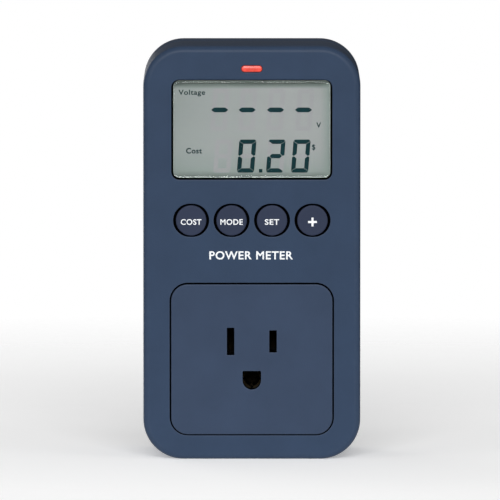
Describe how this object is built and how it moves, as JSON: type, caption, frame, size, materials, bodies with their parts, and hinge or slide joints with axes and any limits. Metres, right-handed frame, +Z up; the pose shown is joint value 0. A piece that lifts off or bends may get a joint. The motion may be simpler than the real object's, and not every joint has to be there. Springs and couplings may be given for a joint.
{
  "type": "plug-in power meter",
  "caption": "Plug-in power meter: upright box with segment display, indicator, row of push buttons and grounded outlet in front, and blades and ground pin behind.",
  "frame": {"origin": "on the flat rear face, midway between the two flat blades", "axes": "+X to the right seen from the front, +Y out of the back along the blades, +Z up; the front faces -Y"},
  "size_m": [0.065, 0.0612, 0.124],
  "materials": {
    "housing": "fine spark texture, navy",
    "socket_panel": "fine spark texture, navy",
    "keys": "fine matte, dark grey blue",
    "lens": "clear polished",
    "indicator": "translucent coral red",
    "screw_steel": "zinc plated",
    "label": "blank printed film",
    "switch": "black",
    "display_glass": "liquid crystal glass, grey green",
    "reflector": "satin reflector film",
    "white_plastic": "moulded",
    "elastomer": "layered conductive elastomer",
    "circuit_board": "green solder resist",
    "package": "moulded black",
    "led": "clear",
    "brass": "rolled, bright",
    "contact_alloy": "dark, oxidised",
    "fuse_glass": "clear",
    "varistor_coat": "blue epoxy coat",
    "film_case": "yellow case",
    "can_sleeve": "shrink sleeve",
    "shunt_alloy": "resistance alloy strip",
    "ribbon": "grey insulation",
    "insulator": "ivory moulding",
    "dark_insulator": "black moulding",
    "black_wire": "black insulation",
    "white_wire": "white insulation"
  },
  "bodies": {
    "meter": {"front_cover": "housing", "rear_cover": "housing", "socket_panel": "socket_panel", "display_lens": "lens", "indicator_lens": "indicator", "case_screws": "screw_steel", "rating_label": "label", "cost_switch": "switch", "mode_switch": "switch", "set_switch": "switch", "plus_switch": "switch", "lcd_front_glass": "display_glass", "lcd_rear_glass": "display_glass", "lcd_reflector": "reflector", "lcd_frame": "white_plastic", "contact_strip": "elastomer", "display_board": "circuit_board", "display_screws": "screw_steel", "indicator_led": "led", "display_chip": "package", "crystal": "screw_steel", "backup_cell": "screw_steel", "power_board": "circuit_board", "power_screws": "screw_steel", "fuse_tube": "fuse_glass", "fuse_caps": "screw_steel", "fuse_clips": "brass", "varistor": "varistor_coat", "film_capacitor": "film_case", "electrolytic_capacitor": "can_sleeve", "rectifier_diodes": "package", "current_shunt": "shunt_alloy", "metering_chip": "package", "board_ribbon": "ribbon", "ribbon_sockets": "white_plastic", "contact_carrier": "dark_insulator", "carrier_screws": "screw_steel", "line_contact": "contact_alloy", "neutral_contact": "contact_alloy", "ground_contact": "contact_alloy", "line_blade": "brass", "neutral_blade": "brass", "ground_pin": "brass", "blade_block": "insulator", "block_screws": "screw_steel", "ground_strap": "brass", "line_in_wire": "black_wire", "neutral_in_wire": "white_wire", "line_out_wire": "black_wire", "neutral_out_wire": "white_wire"},
    "cost_button": {"cost_key": "keys", "cost_plunger": "switch"},
    "mode_button": {"mode_key": "keys", "mode_plunger": "switch"},
    "set_button": {"set_key": "keys", "set_plunger": "switch"},
    "plus_button": {"plus_key": "keys", "plus_plunger": "switch"}
  },
  "joints": [
    {"name": "cost_press", "type": "slide", "parent": "meter", "child": "cost_button", "axis": [0, 1, 0], "range_m": [0, 0.0006], "stiffness_N_per_m": 2000, "springref_m": -0.0003},
    {"name": "mode_press", "type": "slide", "parent": "meter", "child": "mode_button", "axis": [0, 1, 0], "range_m": [0, 0.0006], "stiffness_N_per_m": 2000, "springref_m": -0.0003},
    {"name": "set_press", "type": "slide", "parent": "meter", "child": "set_button", "axis": [0, 1, 0], "range_m": [0, 0.0006], "stiffness_N_per_m": 2000, "springref_m": -0.0003},
    {"name": "plus_press", "type": "slide", "parent": "meter", "child": "plus_button", "axis": [0, 1, 0], "range_m": [0, 0.0006], "stiffness_N_per_m": 2000, "springref_m": -0.0003}
  ]
}
